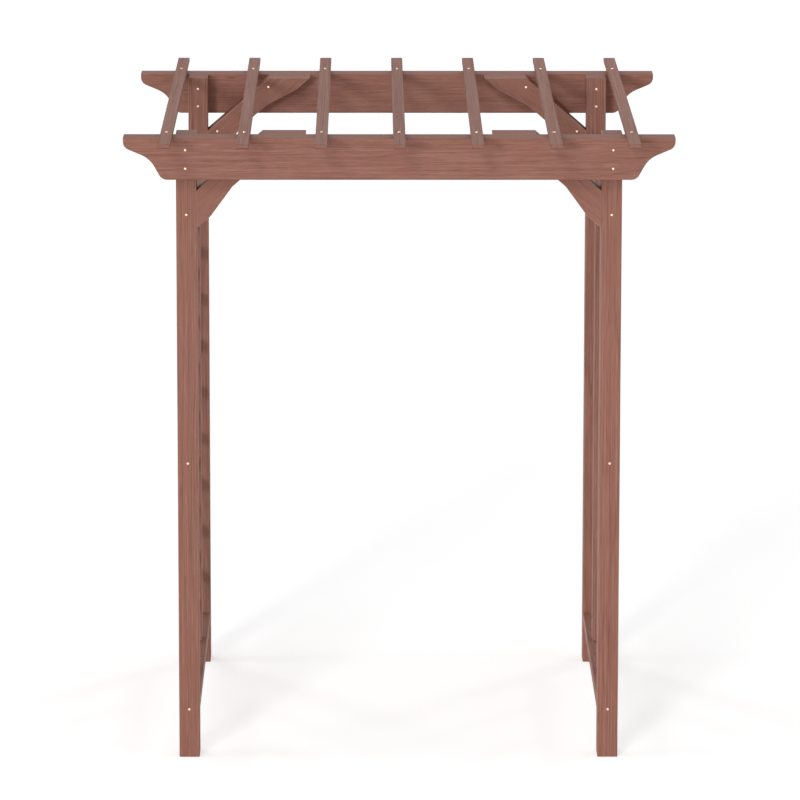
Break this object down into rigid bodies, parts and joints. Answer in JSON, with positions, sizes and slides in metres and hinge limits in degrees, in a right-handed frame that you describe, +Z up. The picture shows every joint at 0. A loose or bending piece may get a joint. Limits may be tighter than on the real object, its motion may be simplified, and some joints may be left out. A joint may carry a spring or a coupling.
{
  "type": "wooden garden pergola",
  "caption": "Free-standing timber garden pergola with ogee-ended beams, thin rafters, arched knee braces and open slatted trellis sides.",
  "frame": {"origin": "centre of the footprint at ground level", "axes": "+Z up, +Y from the front to the back along the rafters, +X to the right along the beams"},
  "size_m": [1.812, 2.1, 2.129],
  "materials": {
    "stained_timber": "satin",
    "brass_screw": "satin"
  },
  "bodies": {
    "root": {"front_beam": "stained_timber", "front_left_brace": "stained_timber", "front_left_post": "stained_timber", "front_right_brace": "stained_timber", "front_right_post": "stained_timber", "left_bottom_rail": "stained_timber", "left_front_stile": "stained_timber", "left_rear_stile": "stained_timber", "left_slat_1": "stained_timber", "left_slat_2": "stained_timber", "left_slat_3": "stained_timber", "left_slat_4": "stained_timber", "left_slat_5": "stained_timber", "left_slat_6": "stained_timber", "left_slat_7": "stained_timber", "left_slat_8": "stained_timber", "left_slat_9": "stained_timber", "left_top_rail": "stained_timber", "rafter_1": "stained_timber", "rafter_2": "stained_timber", "rafter_3": "stained_timber", "rafter_4": "stained_timber", "rafter_5": "stained_timber", "rafter_6": "stained_timber", "rafter_7": "stained_timber", "rear_beam": "stained_timber", "rear_left_brace": "stained_timber", "rear_left_post": "stained_timber", "rear_right_brace": "stained_timber", "rear_right_post": "stained_timber", "right_bottom_rail": "stained_timber", "right_front_stile": "stained_timber", "right_rear_stile": "stained_timber", "right_slat_1": "stained_timber", "right_slat_2": "stained_timber", "right_slat_3": "stained_timber", "right_slat_4": "stained_timber", "right_slat_5": "stained_timber", "right_slat_6": "stained_timber", "right_slat_7": "stained_timber", "right_slat_8": "stained_timber", "right_slat_9": "stained_timber", "right_top_rail": "stained_timber"}
  },
  "joints": []
}
